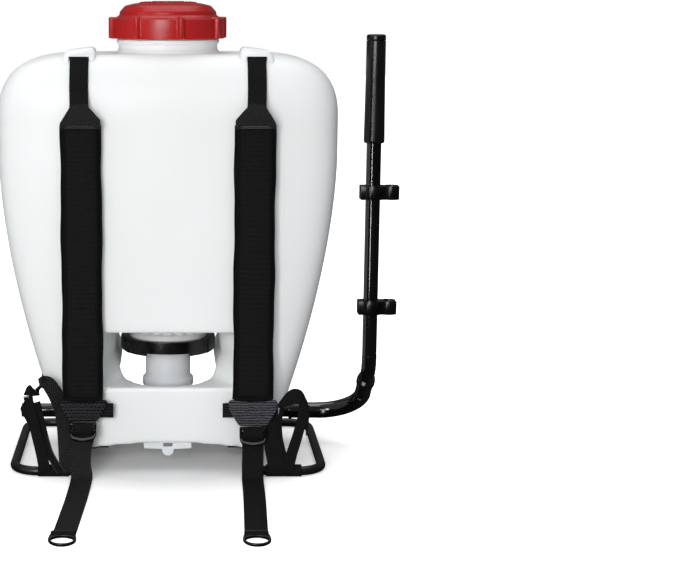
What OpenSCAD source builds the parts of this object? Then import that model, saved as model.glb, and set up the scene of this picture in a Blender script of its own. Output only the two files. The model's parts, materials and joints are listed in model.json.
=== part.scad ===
// Backpack sprayer: moulded tank, piston pump under it, folding pump lever, rod base and webbing harness.
// Millimetres. Z is up and 0 is the floor, X is across the wearer's back, and the wearer is on the -Y side.
// The origin is on the floor, midway between the pump's axis and the sides of the base.

/* [Tank] */
// Greatest half width of the tank
tank_half = 186; // [178:1:190]
// Half width of the tank at its feet
foot_half = 112; // [108:1:116]
// Height of the widest section
tank_widest_z = 345; // [335:1:355]
// Underside of the tank's feet
foot_z = 14; // [14:0.5:16]
// Height where the shoulders start to round
shoulder_z = 385; // [380:1:388]
// Top of the tank beside the neck
tank_top_z = 455; // [453:1:456]
// Distance from the pump's axis to the face at the wearer's back
back_depth = 88; // [86:1:90]
// Distance from the pump's axis to the outer face
front_depth = 106; // [100:1:110]
// Wall thickness of the tank
wall = 3.5; // [3:0.1:4]
// Outer radius of the filler neck
neck_r = 54; // [53:0.5:54.5]
// Top of the filler neck
neck_top_z = 488.5; // [488:0.5:489]

/* [Window under the tank] */
// Half width of the window at the wearer's side
window_half = 73; // [70:1:74]
// Half width of the window at the far side
window_far_half = 60; // [59:1:62]
// Lower edge of the window
window_low_z = 96; // [95:0.5:97]
// Upper edge of the window
window_top_z = 156; // [155:0.5:157]
// Lower edge of the skirt between the feet
skirt_low_z = 30; // [28:1:32]

/* [Pump] */
// Outer radius of the sliding pump tube
plunger_r = 25.5; // [25:0.1:25.6]
// Lowest point of the sliding pump tube
plunger_low_z = 84; // [84:0.5:85]
// Outer radius of the ring nut
ring_r = 52.5; // [52:0.5:53]
// Crank length from the shaft's axis to the crank pin
crank_length = 42; // [42:0.5:42.5]
// Angle of the crank below horizontal at rest
crank_rest = 17.5; // [17:0.5:18]

/* [Shaft and lever] */
// Distance of the pump shaft behind the pump's axis
shaft_y = 41; // [41:0.5:41.5]
// Height of the pump shaft
shaft_z = 37; // [37:0.5:37.5]
// Radius of the pump shaft
shaft_r = 8; // [7.8:0.1:8]
// Outer radius of the swing arm's tube
arm_r = 9.2; // [9:0.1:9.5]
// Bend radius of the swing arm
arm_bend = 48; // [46:1:50]
// Distance across the body from the tank's middle to the lever
lever_x = 224; // [222:1:228]
// Tilt of the lever's swivel axis above horizontal
swivel_tilt = 38.5; // [38:0.5:39]
// Distance along the swivel axis from the shaft to the lever's elbow
elbow_reach = 115; // [112:1:116]
// Radius of the lever's tube
lever_r = 8; // [7.8:0.1:8]
// Distance from the elbow to the end of the lever
lever_length = 368; // [350:1:372]
// Length of the grip
grip_length = 117; // [110:1:120]
// Distances from the elbow to the two wand clips
clip_at = [69.5, 197]; // [60:0.5:210]
// Inner radius of a wand clip's jaws
wand_r = 6.5; // [6:0.1:6.8]

/* [Base] */
// Radius of the base rod
rod_r = 5; // [4.8:0.1:5.2]
// Half width of the base between rod centres
base_half = 170; // [165:1:172]
// Half width between the rod ends under the feet
base_inner = 100; // [96:1:102]
// Place of the base's run at the wearer's side
base_near_y = -100; // [-102:1:-98]
// Place of the base's run at the far side
base_far_y = 105; // [100:1:108]
// Corner radius of the base rod
base_corner = 28; // [24:1:30]

/* [Harness] */
// Half distance between the two straps
strap_x = 92.5; // [92:0.5:93]
// Width of the upper webbing
upper_web_w = 20; // [18:1:21]
// Width of the shoulder pads
pad_w = 43; // [40:1:44]
// Thickness of the shoulder pads
pad_t = 12; // [10:1:13]
// Width of the tail webbing
tail_w = 24; // [22:1:25]
// Thickness of the webbing
web_t = 2; // [1.6:0.1:2.2]
// Distance in front of the pump's axis where the tails end
tail_end_y = -308; // [-312:1:-300]

/* [Hidden] */
$fn = 64;

tank_white = [0.9, 0.92, 0.93];
black = [0.06, 0.06, 0.06];
webbing = [0.1, 0.1, 0.1];
cap_red = [0.72, 0.12, 0.12];

section_points = 40;
flare_power = 1.7;      // how the width grows from the feet to the widest section
shoulder_power = 2.6;   // roundness of the shoulders
top_half = 100;         // half width of the flat top
fit = 0.05;             // radial clearance of a running fit
air = 0.3;              // gap between bodies that only pass each other

pump_neck_r = 44;
pump_neck_z = 132;
ring_low_z = 124.5;
ring_top_z = 138;
cylinder_r = 34;
cylinder_bore = 31;
cylinder_top_z = 246;
plunger_bore = 22.5;
plunger_top_z = 208;
plunger_foot_r = 29;
clevis_pin_z = 72;
pin_r = 3;

crank_pin_y = shaft_y - crank_length * cos(crank_rest);
crank_pin_z = shaft_z - crank_length * sin(crank_rest);
elbow_y = shaft_y - elbow_reach * cos(swivel_tilt);
elbow_z = shaft_z + elbow_reach * sin(swivel_tilt);
elbow_bend = 30;        // bend radius of the lever's elbow
elbow_swell = 0.2;      // a tube's bent stretch is a little fatter
elbow_angle = 90 - swivel_tilt;
elbow_run = elbow_bend * tan(elbow_angle / 2);
arm_end = 84;           // the swing arm's end, along the swivel axis from the shaft
sleeve_start = 142;     // where the swing arm's sleeve starts on the shaft
bracket_z = 2 * rod_r;
bush_x = 68;
cotter_x = 61.2;
screw_x = 85;
screw_y = [-16, 8];
lug_x = 95;

// ---------- tank ----------

function shoulder(z) = z <= shoulder_z ? 1
    : pow(1 - pow((z - shoulder_z) / (tank_top_z + 0.4 - shoulder_z), shoulder_power), 1 / shoulder_power);
function below(z) = pow(max(0, tank_widest_z - z) / (tank_widest_z - foot_z), flare_power);
function half_width(z) = let (w = tank_half - (tank_half - foot_half) * below(z))
    z <= shoulder_z ? w : top_half + (w - top_half) * shoulder(z);
function depth(z, side) = let (d = side < 0 ? back_depth - 3 * below(z) : front_depth - 28 * below(z))
    z <= shoulder_z ? d : 0.55 * d + 0.45 * d * shoulder(z);
// the face at the wearer's back is flatter than the outer one
function roundness(side) = side < 0 ? 5 : 3;
function signed_pow(v, p) = sign(v) * pow(abs(v), p);
function section(z, inset) = [for (i = [0:section_points - 1])
    let (t = 360 * i / section_points, side = sin(t), p = 2 / roundness(side))
    [(half_width(z) - inset) * signed_pow(cos(t), p), (depth(z, side) - inset) * signed_pow(side, p), z]];

module loft(heights, inset) {
    n = section_points;
    rings = len(heights);
    points = [for (z = heights) each section(z, inset)];
    sides = [for (r = [0:rings - 2], i = [0:n - 1])
        [r * n + i, (r + 1) * n + i, (r + 1) * n + (i + 1) % n, r * n + (i + 1) % n]];
    polyhedron(points, concat([[for (i = [0:n - 1]) i]], sides,
        [[for (i = [n - 1:-1:0]) (rings - 1) * n + i]]), convexity = 8);
}

module tank_outside() {
    loft([foot_z, 50, 90, 134, 180, 230, 285, tank_widest_z, shoulder_z, 410, 428, 441, 449, 453,
        tank_top_z], 0);
}

module window_space() {
    intersection() {
        linear_extrude(200) polygon([[-window_half - 3, -100], [-window_half, -back_depth],
            [-window_far_half, -30], [-window_far_half, 140], [window_far_half, 140],
            [window_far_half, -30], [window_half, -back_depth], [window_half + 3, -100]]);
        translate([0, 150, 0]) rotate([90, 0, 0]) linear_extrude(260) union() {
            corner = 24;
            translate([-80, window_low_z + corner]) square([160, window_top_z - window_low_z - corner]);
            for (s = [-1, 1]) translate([s * (window_half - corner), window_low_z + corner]) circle(corner);
            translate([corner - window_half, window_low_z])
                square([2 * (window_half - corner), corner + 1]);
        }
    }
}

// the bay under the window that holds the crank, open to the floor and to the far side
module crank_bay() {
    skin = 4.5;
    translate([-window_far_half, skin - 85, -1])
        cube([2 * window_far_half, 300, window_low_z - skin + 1]);
    notch = 56;
    translate([0, notch + skin + 4 - 85, 50]) {
        cylinder(h = 60, r = notch);
        translate([-notch, 0, 0]) cube([2 * notch, 200, 60]);
    }
}

module shaft_groove(extra) {
    r = 13 + extra;
    translate([-200, shaft_y, shaft_z]) rotate([0, 90, 0]) cylinder(h = 400, r = r);
    translate([-200, shaft_y - r, -1]) cube([400, 2 * r, shaft_z + 1]);
}

// room for the bracket's ear, the bush's flange and the cotter pin at the groove's inner end
module ear_pocket() {
    r = 16.4;
    reach = bush_x + 4.6;
    translate([-reach, shaft_y, shaft_z]) rotate([0, 90, 0]) cylinder(h = 2 * reach, r = r);
    translate([-reach, shaft_y - r, -1]) cube([2 * reach, 2 * r, shaft_z + 1]);
}

module skirt_arch() {
    // arched lower edge between the feet
    arch_r = 900;
    translate([0, 0, skirt_low_z + 2 - arch_r]) rotate([90, 0, 0])
        cylinder(h = 400, r = arch_r, center = true, $fn = 240);
}

module tank() color(tank_white) difference() {
    union() {
        difference() {
            tank_outside();
            difference() {
                loft([foot_z + wall, 90, 134, 180, 230, 285, tank_widest_z, shoulder_z, 410, 428, 441,
                    tank_top_z - wall - 1], wall);
                block = window_half + wall;
                translate([-block, -150, 0]) cube([2 * block, 300, window_top_z + wall]);
                shaft_groove(wall);
            }
        }
        translate([0, 0, tank_top_z - wall - 2]) cylinder(h = neck_top_z - tank_top_z + wall + 2, r = neck_r);
        translate([0, 0, 466]) cylinder(h = 4, r = neck_r + 2.5);
        translate([0, 0, pump_neck_z]) cylinder(h = window_top_z - pump_neck_z + 1, r = pump_neck_r);
    }
    window_hollow();
    crank_bay();
    shaft_groove(0);
    ear_pocket();
    intersection() {
        skirt_arch();
        translate([-90, -120, 0]) cube([180, 240, 60]);
    }
    translate([0, 0, tank_top_z - wall - 10]) cylinder(h = 60, r = neck_r - 4);
    translate([0, 0, pump_neck_z - 1]) cylinder(h = window_top_z - pump_neck_z + wall + 2, r = 36);
    for (s = [-1, 1], y = screw_y) translate([s * screw_x, y, foot_z - 1]) cylinder(h = 4, r = 2.6, $fn = 24);
}

module window_hollow() difference() {
    window_space();
    translate([0, 0, pump_neck_z]) cylinder(h = 40, r = pump_neck_r);
}

// ---------- harness anchors ----------

module strap_lug() color("white") difference() {
    translate([lug_x, -34, 0]) rotate([90, 0, 0]) linear_extrude(36)
        polygon([[-17, 430], [-17, 460.5], [-14, 463.5], [6, 462], [14, 460], [18, 454], [18, 430]]);
    tank_outside();
    // slot for the webbing, which follows the shoulder down
    band(lug_x, upper_web_w + 1, [[-42, 458.2], [-55.5, 458.2], [-72, 453.2], [-72, 425], [-42, 425]]);
}
module strap_lug_right() strap_lug();
module strap_lug_left() mirror([1, 0, 0]) strap_lug();

// ---------- filler ----------

cap_low_z = 470.8;
cap_ceiling_z = 492.3;
cap_bore = 55.2;
cap_ribs = 8;

module filler_cap() color(cap_red) difference() {
    union() {
        translate([0, 0, cap_low_z]) cylinder(h = 21.7, r = 62);
        translate([0, 0, cap_low_z + 21.7]) cylinder(h = 4, r1 = 62, r2 = 53);
        translate([0, 0, cap_low_z + 25.7]) cylinder(h = 4, r = 53);
        translate([0, 0, cap_low_z + 29.7]) cylinder(h = 6, r1 = 53, r2 = 46);
        translate([0, 0, cap_low_z + 35.7]) cylinder(h = 3, r1 = 46, r2 = 37);
        translate([0, 0, cap_low_z + 38.7]) cylinder(h = 1.5, r1 = 37, r2 = 20);
        // grip ribs, which start a little above the lower edge
        for (i = [0:cap_ribs - 1]) rotate(13 - 90 + 360 / cap_ribs * i)
            translate([58.5, 0, cap_low_z + 0.4]) cylinder(h = 21, r = 8.5);
    }
    translate([0, 0, cap_low_z - 1]) cylinder(h = cap_ceiling_z - cap_low_z + 1, r = cap_bore);
    translate([0, 0, cap_ceiling_z - 1]) cylinder(h = 9, r = 40);
    translate([0, 0, cap_ceiling_z]) cylinder(h = 13, r = 2);
}

module cap_gasket() color(black) translate([0, 0, neck_top_z + 1.7]) difference() {
    cylinder(h = cap_ceiling_z - neck_top_z - 1.9, r = neck_r);
    translate([0, 0, -1]) cylinder(h = 10, r = neck_r - 5);
}

module vent_valve() color(black) translate([0, 0, cap_ceiling_z + 8]) {
    translate([0, 0, -2]) cylinder(h = 2, r = 9);
    translate([0, 0, -1]) cylinder(h = 4, r = 1.9);
}

module strainer_basket() color("white") difference() {
    union() {
        translate([0, 0, neck_top_z]) cylinder(h = 1.5, r = neck_r);
        translate([0, 0, 402]) cylinder(h = neck_top_z + 1.5 - 402, r = 48);
    }
    translate([0, 0, 404]) cylinder(h = 100, r = 46.2);
    for (i = [0:15], k = [0:2]) rotate(22.5 * i) translate([40, -5, 412 + 20 * k]) cube([15, 10, 14]);
    for (x = [-24, 0, 24], y = [-24, 0, 24]) translate([x - 8, y - 8, 400]) cube([16, 16, 10]);
}

// ---------- pump ----------

module pump_ring_nut() color(black) difference() {
    union() {
        translate([0, 0, ring_low_z]) cylinder(h = ring_top_z - ring_low_z, r = ring_r);
        for (s = [0, 180]) rotate(s) intersection() {
            translate([0, 0, ring_low_z - 3.5]) cylinder(h = 5, r = ring_r);
            translate([24, -60, ring_low_z - 4]) cube([60, 120, 6]);
        }
        for (i = [0:11]) rotate(30 * i + 15) translate([ring_r - 0.6, -4, ring_low_z])
            cube([2, 8, ring_top_z - ring_low_z - 2]);
    }
    translate([0, 0, ring_low_z - 5]) cylinder(h = 30, r = 30);
    translate([0, 0, ring_low_z + 3]) cylinder(h = 30, r = pump_neck_r + 0.2);
}

module pump_gasket() color(black) translate([0, 0, pump_neck_z - 1.6]) difference() {
    cylinder(h = 1.6, r = pump_neck_r - 0.5);
    translate([0, 0, -1]) cylinder(h = 5, r = 37);
}

module pump_cylinder() color("white") difference() {
    union() {
        translate([0, 0, ring_low_z + 3]) cylinder(h = pump_neck_z - 1.6 - ring_low_z - 3, r = pump_neck_r - 0.5);
        translate([0, 0, ring_low_z + 3]) cylinder(h = cylinder_top_z - ring_low_z - 3, r = cylinder_r);
    }
    translate([0, 0, 120]) cylinder(h = 60, r = plunger_r + fit);
    translate([0, 0, 133]) cylinder(h = cylinder_top_z - 4 - 133, r = cylinder_bore);
    // seat of the inlet valve and the intake slots
    translate([0, 0, cylinder_top_z - 5]) cylinder(h = 10, r = 4);
    for (i = [0:5]) rotate(60 * i) translate([14, -3, cylinder_top_z - 5]) cube([12, 6, 10]);
}

module plunger_tube() color("white") difference() {
    union() {
        translate([0, 0, plunger_low_z]) cylinder(h = plunger_top_z - plunger_low_z, r = plunger_r);
        translate([0, 0, plunger_low_z]) cylinder(h = 9, r = plunger_foot_r);
    }
    translate([0, 0, plunger_low_z + 6]) cylinder(h = 60, r = plunger_bore);
    translate([0, 0, plunger_low_z + 71]) cylinder(h = 80, r = plunger_bore);
    // outlet valve seat in the web between the two chambers
    translate([0, 0, plunger_low_z + 60]) cylinder(h = 20, r = 4);
    // groove of the seal, and the outlet hole
    translate([0, 0, plunger_top_z - 8]) difference() {
        cylinder(h = 20, r = plunger_r + 5);
        translate([0, 0, -1]) cylinder(h = 30, r = plunger_r - 1.5);
    }
    translate([0, 0, plunger_low_z + 11]) rotate([-90, 0, 0]) cylinder(h = 40, r = 3);
}

module piston_seal() color(black) translate([0, 0, plunger_top_z - 8]) difference() {
    cylinder(h = 8, r = cylinder_bore - fit);
    translate([0, 0, -1]) cylinder(h = 20, r = plunger_r - 1.5);
}

module inlet_valve() color(black) translate([0, 0, cylinder_top_z + 0.2]) {
    cylinder(h = 2.5, r = 9);
    translate([0, 0, -3.5]) cylinder(h = 4, r = 3.6);
}

module outlet_valve() color("silver") translate([0, 0, plunger_low_z + 71 + 4.7]) sphere(r = 6);

// a stem in the outlet hole, a collar and the barbs
module outlet_barb() color(black) translate([0, plunger_foot_r + 0.2, plunger_low_z + 11]) rotate([-90, 0, 0])
    difference() {
        union() {
            translate([0, 0, -6.6]) cylinder(h = 7, r = 3 - fit);
            cylinder(h = 6, r = 6);
            cylinder(h = 34, r = 4.6);
            for (k = [0:2]) translate([0, 0, 15 + 6 * k]) cylinder(h = 3, r = 5.4);
        }
        translate([0, 0, -10]) cylinder(h = 50, r = 2);
    }

module pump_clevis() color(black) difference() {
    union() {
        translate([0, 0, plunger_low_z - 4]) cylinder(h = 4, r = 20);
        for (s = [-1, 1]) translate([s * 10.5 - 2, -9, clevis_pin_z - 8]) cube([4, 18, plunger_low_z - clevis_pin_z + 6]);
    }
    translate([-30, 0, clevis_pin_z]) rotate([0, 90, 0]) cylinder(h = 60, r = pin_r + fit);
}

module clevis_pin() color("silver") translate([-15, 0, clevis_pin_z]) rotate([0, 90, 0]) {
    cylinder(h = 30, r = pin_r);
    cylinder(h = 2, r = 5);
}

// The upper eye is a slot, because the crank pin moves along an arc and the clevis along a line.
module link_rod() color("silver") {
    eye = 8;
    thick = 12;
    slack = 1.6;
    translate([-thick / 2, 0, 0]) rotate([90, 0, 90]) difference() {
        linear_extrude(thick) union() {
            translate([crank_pin_y, crank_pin_z]) circle(eye);
            translate([crank_pin_y, clevis_pin_z]) circle(eye - 0.9);
            translate([crank_pin_y - 5, crank_pin_z]) square([10, clevis_pin_z - crank_pin_z]);
        }
        translate([crank_pin_y, crank_pin_z, -1]) cylinder(h = thick + 2, r = pin_r + fit);
        for (s = [-1, 1]) translate([crank_pin_y + s * slack, clevis_pin_z, -1])
            cylinder(h = thick + 2, r = pin_r + air);
        translate([crank_pin_y - slack, clevis_pin_z - pin_r - air, -1])
            cube([2 * slack, 2 * (pin_r + air), thick + 2]);
    }
}

module crank_pin() color("silver") translate([-15, crank_pin_y, crank_pin_z]) rotate([0, 90, 0]) {
    cylinder(h = 30, r = pin_r);
    cylinder(h = 2, r = 5);
}

module crank_arm() color(black) difference() {
    union() {
        for (s = [-1, 1]) translate([s * 10.5 - 2, shaft_y, shaft_z]) rotate([90, 0, 90]) linear_extrude(4) {
            circle(14);
            rotate(180 + crank_rest) translate([0, -8]) square([crank_length, 16]);
            rotate(180 + crank_rest) translate([crank_length, 0]) circle(8);
        }
        translate([-12.5, shaft_y, shaft_z]) rotate([0, 90, 0]) cylinder(h = 25, r = 12);
    }
    translate([-30, shaft_y, shaft_z]) rotate([0, 90, 0]) cylinder(h = 60, r = shaft_r + fit);
    translate([-30, crank_pin_y, crank_pin_z]) rotate([0, 90, 0]) cylinder(h = 60, r = pin_r + fit);
    translate([-7, crank_pin_y - 12, crank_pin_z - 12]) cube([14, 30, 24]);
}

// ---------- shaft and base ----------

module along_shaft(x) translate([x, shaft_y, shaft_z]) rotate([0, 90, 0]) children();

module pump_shaft() color(black) difference() {
    along_shaft(-172) cylinder(h = 172 + 188, r = shaft_r);
    for (s = [-1, 1]) translate([s * cotter_x, shaft_y, shaft_z - 20]) cylinder(h = 40, r = 1.6, $fn = 24);
    // blind hole for the lock button
    translate([182, shaft_y - 1, shaft_z]) rotate([90, 0, 0]) cylinder(h = 20, r = 3.3 + fit);
}

module shaft_bush() color("white") difference() {
    union() {
        along_shaft(bush_x) cylinder(h = 8, r = 11);
        along_shaft(bush_x - 2) cylinder(h = 2, r = 13.5);
    }
    along_shaft(bush_x - 5) cylinder(h = 20, r = shaft_r + fit);
}
module shaft_bush_right() shaft_bush();
module shaft_bush_left() mirror([1, 0, 0]) shaft_bush();

module shaft_washers() color("silver") for (s = [0, 1]) mirror([s, 0, 0]) difference() {
    along_shaft(bush_x - 3.8) cylinder(h = 1.5, r = 13);
    along_shaft(bush_x - 10) cylinder(h = 20, r = shaft_r + fit);
}

module cotter_pins() color("silver") for (s = [-1, 1]) translate([s * cotter_x, shaft_y, shaft_z - 12]) {
    cylinder(h = 23, r = 1.5, $fn = 24);
    translate([0, 0, 23]) sphere(r = 2.6, $fn = 24);
}

// a saddle on the rod end, with an upright ear that holds the shaft's bush
module bracket() color(black) difference() {
    union() {
        translate([bush_x, -25, bracket_z + 0.2]) cube([44, 101, 3.5]);
        translate([bush_x + 0.2, shaft_y - 16, bracket_z + 0.2]) cube([4, 32, shaft_z - bracket_z]);
        along_shaft(bush_x + 0.2) cylinder(h = 4, r = 16);
    }
    along_shaft(bush_x - 5) cylinder(h = 20, r = 11 + fit);
    for (y = screw_y) translate([screw_x, y, 0]) cylinder(h = 40, r = 2.6, $fn = 24);
}
module bracket_right() bracket();
module bracket_left() mirror([1, 0, 0]) bracket();

module bracket_screws() color("silver")
    for (s = [0, 1], y = screw_y) mirror([s, 0, 0]) translate([screw_x, y, 0]) {
        translate([0, 0, bracket_z - 2.6]) cylinder(h = 2.8, r = 4.2, $fn = 32);
        translate([0, 0, bracket_z - 1]) cylinder(h = foot_z - bracket_z + 3.9, r = 2.5, $fn = 24);
    }

module rod_x(x, y, length) translate([x, y, rod_r]) rotate([0, 90, 0]) cylinder(h = length, r = rod_r);
module rod_y(x, y, length) translate([x, y, rod_r]) rotate([-90, 0, 0]) cylinder(h = length, r = rod_r);
module rod_corner(x, y, start) translate([x, y, rod_r]) rotate(start)
    rotate_extrude(angle = 90) translate([base_corner, 0]) circle(rod_r);

// one rod: across the far side, round both sides, and back under each foot
module base_frame() color(black) {
    c = base_corner;
    inner_c = 12;
    rod_x(c - base_half, base_far_y, 2 * (base_half - c));
    for (s = [0, 1]) mirror([s, 0, 0]) {
        rod_corner(base_half - c, base_far_y - c, 0);
        rod_y(base_half, base_near_y + c, base_far_y - base_near_y - 2 * c);
        rod_corner(base_half - c, base_near_y + c, -90);
        rod_x(base_inner + inner_c, base_near_y, base_half - c - base_inner - inner_c);
        translate([base_inner + inner_c, base_near_y + inner_c, rod_r]) rotate(180)
            rotate_extrude(angle = 90) translate([inner_c, 0]) circle(rod_r);
        rod_y(base_inner, base_near_y + inner_c, 150);
        translate([base_inner, base_near_y + inner_c + 150, rod_r]) sphere(r = rod_r);
    }
}

// ---------- lever ----------

// children are drawn with +Z along the swivel axis and the shaft's corner at the origin
module on_swivel() translate([lever_x, shaft_y, shaft_z]) rotate([90 - swivel_tilt, 0, 0]) children();

module arm_solid(r, sleeve_from, sleeve_to) {
    along_shaft(sleeve_from) cylinder(h = lever_x - arm_bend - sleeve_from, r = r);
    on_swivel() {
        translate([-arm_bend, 0, arm_bend]) rotate([90, 0, 0]) rotate(-90)
            rotate_extrude(angle = 90) translate([arm_bend, 0]) circle(r + elbow_swell);
        translate([0, 0, arm_bend]) cylinder(h = sleeve_to - arm_bend, r = r);
    }
}

module swing_arm() color(black) difference() {
    union() {
        arm_solid(arm_r, sleeve_start, arm_end);
        along_shaft(sleeve_start) cylinder(h = 3, r = arm_r + 1.3);
        on_swivel() translate([0, 0, arm_end - 6]) cylinder(h = 6, r = arm_r + 1.3);
    }
    along_shaft(sleeve_start - 5) cylinder(h = 30 + lever_x - arm_bend - sleeve_start - 12, r = shaft_r + fit);
    on_swivel() translate([0, 0, arm_end - 30]) cylinder(h = 60, r = lever_r + fit);
    translate([182, shaft_y - 1, shaft_z]) rotate([90, 0, 0]) cylinder(h = 20, r = 3.3 + air);
}

module lock_button() color("silver") translate([182, shaft_y - 4, shaft_z]) rotate([90, 0, 0]) {
    cylinder(h = 5.5, r = 3.3);
    translate([0, 0, 5.5]) sphere(r = 3.3);
}

module lever_tube() color(black) {
    on_swivel() translate([0, 0, arm_end - 26]) cylinder(h = elbow_reach - elbow_run - arm_end + 26, r = lever_r);
    // the elbow turns from the swivel axis to straight up
    translate([lever_x, elbow_y + elbow_bend, elbow_z + elbow_run]) rotate([90, 0, 90]) rotate(180)
        rotate_extrude(angle = elbow_angle) translate([elbow_bend, 0]) circle(lever_r + elbow_swell);
    translate([lever_x, elbow_y, elbow_z + elbow_run])
        cylinder(h = lever_length - elbow_run - 9, r = lever_r);
    on_swivel() translate([0, 0, arm_end + 1]) cylinder(h = 3, r = lever_r + 2);
}

grip_low_z = elbow_z + lever_length - grip_length;
grip_high_z = elbow_z + lever_length;

module lever_grip() color(black) translate([lever_x, elbow_y, 0]) difference() {
    rotate_extrude() polygon([[0, grip_low_z], [9.4, grip_low_z], [11.3, grip_low_z + 3],
        [11.3, grip_low_z + 8], [10.3, grip_high_z - 7], [0, grip_high_z - 7]]);
    translate([0, 0, grip_low_z - 1]) cylinder(h = grip_length, r = lever_r + fit);
}

module grip_cap() color(black) translate([lever_x, elbow_y, grip_high_z - 6.9]) rotate_extrude()
    polygon([[0, 0], [10.3, 0], [10.3, 2.5], [9.3, 5], [7, 6.5], [0, 6.9]]);

module wand_clip(at) color(black) translate([lever_x, elbow_y, elbow_z + at - 7.5]) difference() {
    jaw = 20;
    linear_extrude(15) difference() {
        union() {
            circle(12.6);
            translate([-14, -9]) square([16, 18]);
            translate([0, -8]) square([14, 16]);
            translate([jaw, 0]) circle(wand_r + 3.2);
        }
        translate([jaw + 1.5, -5]) square([20, 10]);
    }
    translate([0, 0, -1]) cylinder(h = 20, r = lever_r + fit);
    translate([jaw, 0, -1]) cylinder(h = 20, r = wand_r);
}
module wand_clip_lower() wand_clip(clip_at[0]);
module wand_clip_upper() wand_clip(clip_at[1]);

// ---------- harness ----------

// a band of even width along X, from its side view in Y and Z
module band(x, width, outline) translate([x - width / 2, 0, 0]) rotate([90, 0, 90])
    linear_extrude(width) polygon(outline);

pad_back_y = -back_depth - 1.5;

// over the shoulder, just clear of it, then down and out to the taper
module upper_web() color(webbing) band(strap_x + 2, upper_web_w, [[-44, 455.4], [-54.2, 455.4],
    [-63.2, 453.4], [-70.5, 449.6], [-78, 441.6], [-84.5, 428.3], [-91.5, 408], [-95.3, 392],
    [-97.3, 392], [-93.5, 408.5], [-86.5, 429], [-79.8, 442.6], [-71.8, 451.2], [-64, 455.3],
    [-54.6, 457.4], [-44, 457.4]]);
module upper_web_right() upper_web();
module upper_web_left() mirror([1, 0, 0]) upper_web();

module pad() color(webbing) {
    translate([strap_x, pad_back_y, 0]) rotate([90, 0, 0]) linear_extrude(pad_t)
        polygon([[-pad_w / 2, 84], [-pad_w / 2, 378], [-pad_w / 2 + 3, 383], [pad_w / 2 - 3, 383],
            [pad_w / 2, 378], [pad_w / 2, 84]]);
    translate([strap_x, pad_back_y - 8.2, 0]) rotate([90, 0, 0]) linear_extrude(3.8)
        polygon([[-21, 383], [-10, 400], [12, 400], [21, 383]]);
}
module pad_right() pad();
module pad_left() mirror([1, 0, 0]) pad();

module pad_tab() color(webbing) {
    translate([strap_x, pad_back_y - 5, 0]) rotate([90, 0, 0]) linear_extrude(5)
        polygon([[-24, 83.6], [24, 83.6], [23, 76], [14, 56], [-14, 56], [-23, 76]]);
    translate([strap_x - 31, pad_back_y - 6.4, 64]) cube([8, 2, 13]);
}
module pad_tab_right() pad_tab();
module pad_tab_left() mirror([1, 0, 0]) pad_tab();

module buckle() color(black) translate([strap_x, pad_back_y - 12, 0]) difference() {
    translate([-14.5, -6, 36]) cube([29, 8, 19.6]);
    for (z = [39, 46]) translate([-12.2, -10, z]) cube([24.4, 16, 5]);
}
module buckle_right() buckle();
module buckle_left() mirror([1, 0, 0]) buckle();

// wide ply from the tab to the base rod, a sleeve round the rod, and a slack loop that stands up beside it
module lower_web(loop_z) color(webbing) {
    near = base_near_y;
    translate([113, near, rod_r]) rotate([0, 90, 0]) difference() {
        cylinder(h = 28, r = rod_r + 1.8);
        translate([0, 0, -1]) cylinder(h = 60, r = rod_r + fit);
        translate([rod_r, -10, -1]) cube([10, 20, 60]);
    }
    band(118, 21, [[near - 6.6, 8], [near - 3, 40], [near - 1, 74], [near - 1 - web_t, 74],
        [near - 5, 40], [near - 8.6, 8]]);
    translate([0, near + 11, 0]) rotate([90, 0, 0]) linear_extrude(22) difference() {
        union() {
            translate([136, loop_z - 12]) circle(14);
            polygon([[122, loop_z - 12], [131, rod_r + 6], [147, rod_r + 6], [150, loop_z - 12]]);
        }
        translate([136, loop_z - 12]) circle(14 - web_t);
        polygon([[122 + web_t, loop_z - 12], [131 + web_t, rod_r + 5], [147 - web_t, rod_r + 5],
            [150 - web_t, loop_z - 12]]);
    }
}
module lower_web_right() lower_web(96);
module lower_web_left() mirror([1, 0, 0]) lower_web(110);

// the tail hangs from the buckle, bends at the floor and lies towards the wearer
module tail() color(webbing) {
    y = pad_back_y - 18.1;
    band(strap_x, tail_w, [[y, 54], [y, 44], [y - 4, 20], [y - 11, 4], [y - 22, 0], [tail_end_y, 0],
        [tail_end_y, web_t], [y - 23, web_t], [y - 13, 6], [y - 6, 20], [y - 2, 44], [y - 2, 54]]);
}
module tail_right() tail();
module tail_left() mirror([1, 0, 0]) tail();

module pull_ring() color(black) translate([strap_x, tail_end_y - 14.2, 0]) difference() {
    linear_extrude(3.5) difference() {
        union() {
            circle(14);
            translate([-14, 0]) square([28, 14]);
        }
        circle(9.5);
    }
}
module pull_ring_right() pull_ring();
module pull_ring_left() mirror([1, 0, 0]) pull_ring();

// soft flap with a finger lug under the middle of the skirt
module drain_flap() color("white") translate([0, -78.5, 0]) rotate([90, 0, 0]) linear_extrude(2)
    difference() {
        union() {
            translate([-27, 24]) square([54, 10]);
            translate([0, 23]) circle(6.5);
        }
        translate([-5, 27]) square([10, 4]);
    }

tank();
strap_lug_left();
strap_lug_right();
filler_cap();
cap_gasket();
vent_valve();
strainer_basket();
pump_ring_nut();
pump_gasket();
pump_cylinder();
plunger_tube();
piston_seal();
inlet_valve();
outlet_valve();
outlet_barb();
pump_clevis();
clevis_pin();
link_rod();
crank_pin();
crank_arm();
pump_shaft();
swing_arm();
shaft_bush_left();
shaft_bush_right();
shaft_washers();
cotter_pins();
bracket_left();
bracket_right();
bracket_screws();
base_frame();
lock_button();
lever_tube();
lever_grip();
grip_cap();
wand_clip_lower();
wand_clip_upper();
upper_web_left();
upper_web_right();
pad_left();
pad_right();
pad_tab_left();
pad_tab_right();
buckle_left();
buckle_right();
lower_web_left();
lower_web_right();
tail_left();
tail_right();
pull_ring_left();
pull_ring_right();
drain_flap();
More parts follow.
